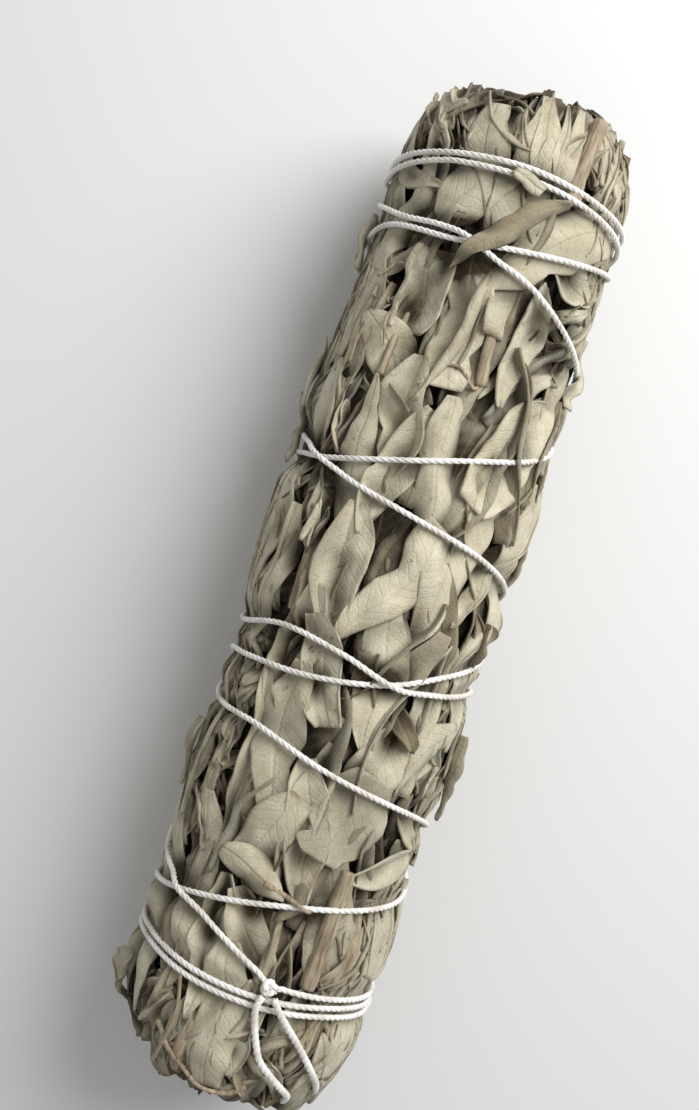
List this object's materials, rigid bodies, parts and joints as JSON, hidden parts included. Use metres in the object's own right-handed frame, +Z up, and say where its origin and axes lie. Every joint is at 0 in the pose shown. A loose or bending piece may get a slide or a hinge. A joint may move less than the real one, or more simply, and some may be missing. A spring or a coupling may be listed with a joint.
{
  "type": "tied dried sage bundle",
  "caption": "Dried white sage sprigs laid side by side and bound with crossed turns of cotton string.",
  "frame": {"origin": "middle of the bundle's length and width, on the surface that it lies on", "axes": "+Y along the bundle from the cut stems to the leaf tips, +Z up, +X to the right seen from above with the tips away"},
  "size_m": [0.0546, 0.2241, 0.0549],
  "materials": {
    "outer_leaf": "matte, dry and felted",
    "inner_leaf": "matte, dry",
    "stem_bark": "matte, dry bark",
    "cotton_string": "matte twisted cotton"
  },
  "bodies": {
    "root": {"inner_leaves_1": "inner_leaf", "inner_leaves_2": "inner_leaf", "inner_leaves_3": "inner_leaf", "inner_leaves_4": "inner_leaf", "inner_leaves_5": "inner_leaf", "inner_leaves_6": "inner_leaf", "inner_leaves_7": "inner_leaf", "outer_leaf_01": "outer_leaf", "outer_leaf_02": "outer_leaf", "outer_leaf_03": "outer_leaf", "outer_leaf_04": "outer_leaf", "outer_leaf_05": "outer_leaf", "outer_leaf_06": "outer_leaf", "outer_leaf_07": "outer_leaf", "outer_leaf_08": "outer_leaf", "outer_leaf_09": "outer_leaf", "outer_leaf_10": "outer_leaf", "outer_leaf_11": "outer_leaf", "outer_leaf_12": "outer_leaf", "outer_leaf_13": "outer_leaf", "outer_leaf_14": "outer_leaf", "outer_leaf_15": "outer_leaf", "outer_leaf_16": "outer_leaf", "outer_leaf_17": "outer_leaf", "outer_leaf_18": "outer_leaf", "outer_leaf_19": "outer_leaf", "outer_leaf_20": "outer_leaf", "outer_leaf_21": "outer_leaf", "outer_leaf_22": "outer_leaf", "outer_leaf_23": "outer_leaf", "outer_leaf_24": "outer_leaf", "outer_leaf_25": "outer_leaf", "outer_leaf_26": "outer_leaf", "outer_leaf_27": "outer_leaf", "outer_leaf_28": "outer_leaf", "outer_leaf_29": "outer_leaf", "outer_leaf_30": "outer_leaf", "outer_leaf_31": "outer_leaf", "outer_leaf_32": "outer_leaf", "outer_leaf_33": "outer_leaf", "outer_leaf_34": "outer_leaf", "rest_leaf_1": "outer_leaf", "rest_leaf_2": "outer_leaf", "rest_leaf_3": "outer_leaf", "rest_leaf_4": "outer_leaf", "side_shoot_1": "stem_bark", "side_shoot_2": "stem_bark", "side_shoot_3": "stem_bark", "side_shoot_4": "stem_bark", "stem_1": "stem_bark", "stem_2": "stem_bark", "stem_3": "stem_bark", "stem_4": "stem_bark", "stem_5": "stem_bark", "stem_6": "stem_bark", "stem_7": "stem_bark", "string_knot": "cotton_string", "string_tail_left": "cotton_string", "string_tail_right": "cotton_string", "string_wrap": "cotton_string"}
  },
  "joints": []
}
